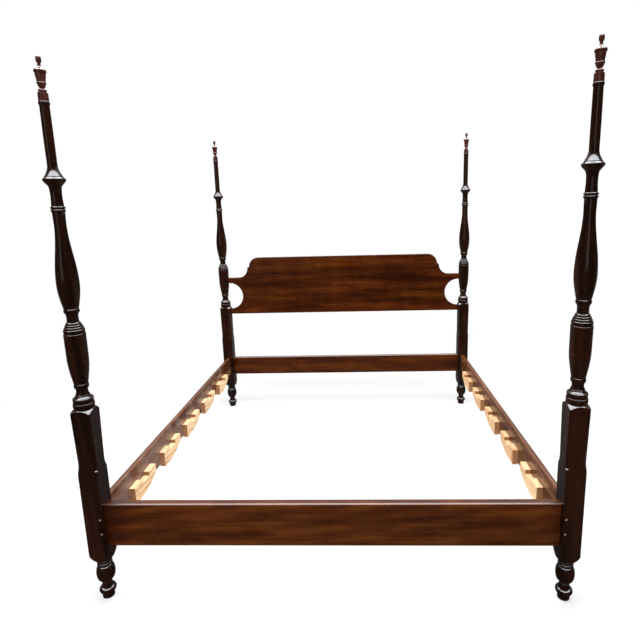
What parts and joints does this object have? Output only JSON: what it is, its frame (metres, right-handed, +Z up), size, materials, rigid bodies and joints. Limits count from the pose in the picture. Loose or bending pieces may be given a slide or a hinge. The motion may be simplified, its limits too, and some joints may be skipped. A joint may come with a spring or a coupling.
{
  "type": "four-poster bed frame",
  "caption": "Four-poster bed frame with tall turned posts, lift-off finials, a shaped headboard with round cut-outs, pegged rails and notched slat blocks on the side rails.",
  "frame": {"origin": "on the floor, midway between the four posts", "axes": "+Z up, +Y from the foot rail to the headboard, +X across the bed to the right as seen from the foot"},
  "size_m": [2.082, 2.2132, 2.246],
  "materials": {
    "post_wood": "dark red-brown gloss varnish",
    "finial_wood": "red-brown gloss varnish",
    "rail_wood": "medium red-brown satin varnish",
    "board_wood": "red-brown satin varnish",
    "pine": "bare sawn pine",
    "peg_wood": "bare end grain",
    "steel": "zinc plated"
  },
  "bodies": {
    "bed_frame": {"post_foot_left": "post_wood", "post_foot_right": "post_wood", "post_head_left": "post_wood", "post_head_right": "post_wood", "foot_rail": "rail_wood", "head_rail": "rail_wood", "side_rail_left": "rail_wood", "side_rail_right": "rail_wood", "headboard": "board_wood", "slat_block_left_1": "pine", "slat_block_left_2": "pine", "slat_block_left_3": "pine", "slat_block_left_4": "pine", "slat_block_left_5": "pine", "slat_block_right_1": "pine", "slat_block_right_2": "pine", "slat_block_right_3": "pine", "slat_block_right_4": "pine", "slat_block_right_5": "pine", "foot_rail_pegs": "peg_wood", "head_rail_pegs": "peg_wood", "slat_block_screws": "steel", "hook_plate_foot_left": "steel", "hook_plate_foot_right": "steel", "hook_plate_head_left": "steel", "hook_plate_head_right": "steel", "hook_plate_screws": "steel", "hook_pins": "steel"},
    "foot_left_finial": {"finial_foot_left": "finial_wood", "finial_pin_foot_left": "steel"},
    "foot_right_finial": {"finial_foot_right": "finial_wood", "finial_pin_foot_right": "steel"},
    "head_left_finial": {"finial_head_left": "finial_wood", "finial_pin_head_left": "steel"},
    "head_right_finial": {"finial_head_right": "finial_wood", "finial_pin_head_right": "steel"}
  },
  "joints": [
    {"name": "finial_foot_left_lift", "type": "slide", "parent": "bed_frame", "child": "foot_left_finial", "axis": [0, 0, 1], "range_m": [0, 0.036]},
    {"name": "finial_foot_right_lift", "type": "slide", "parent": "bed_frame", "child": "foot_right_finial", "axis": [0, 0, 1], "range_m": [0, 0.036]},
    {"name": "finial_head_left_lift", "type": "slide", "parent": "bed_frame", "child": "head_left_finial", "axis": [0, 0, 1], "range_m": [0, 0.036]},
    {"name": "finial_head_right_lift", "type": "slide", "parent": "bed_frame", "child": "head_right_finial", "axis": [0, 0, 1], "range_m": [0, 0.036]}
  ]
}
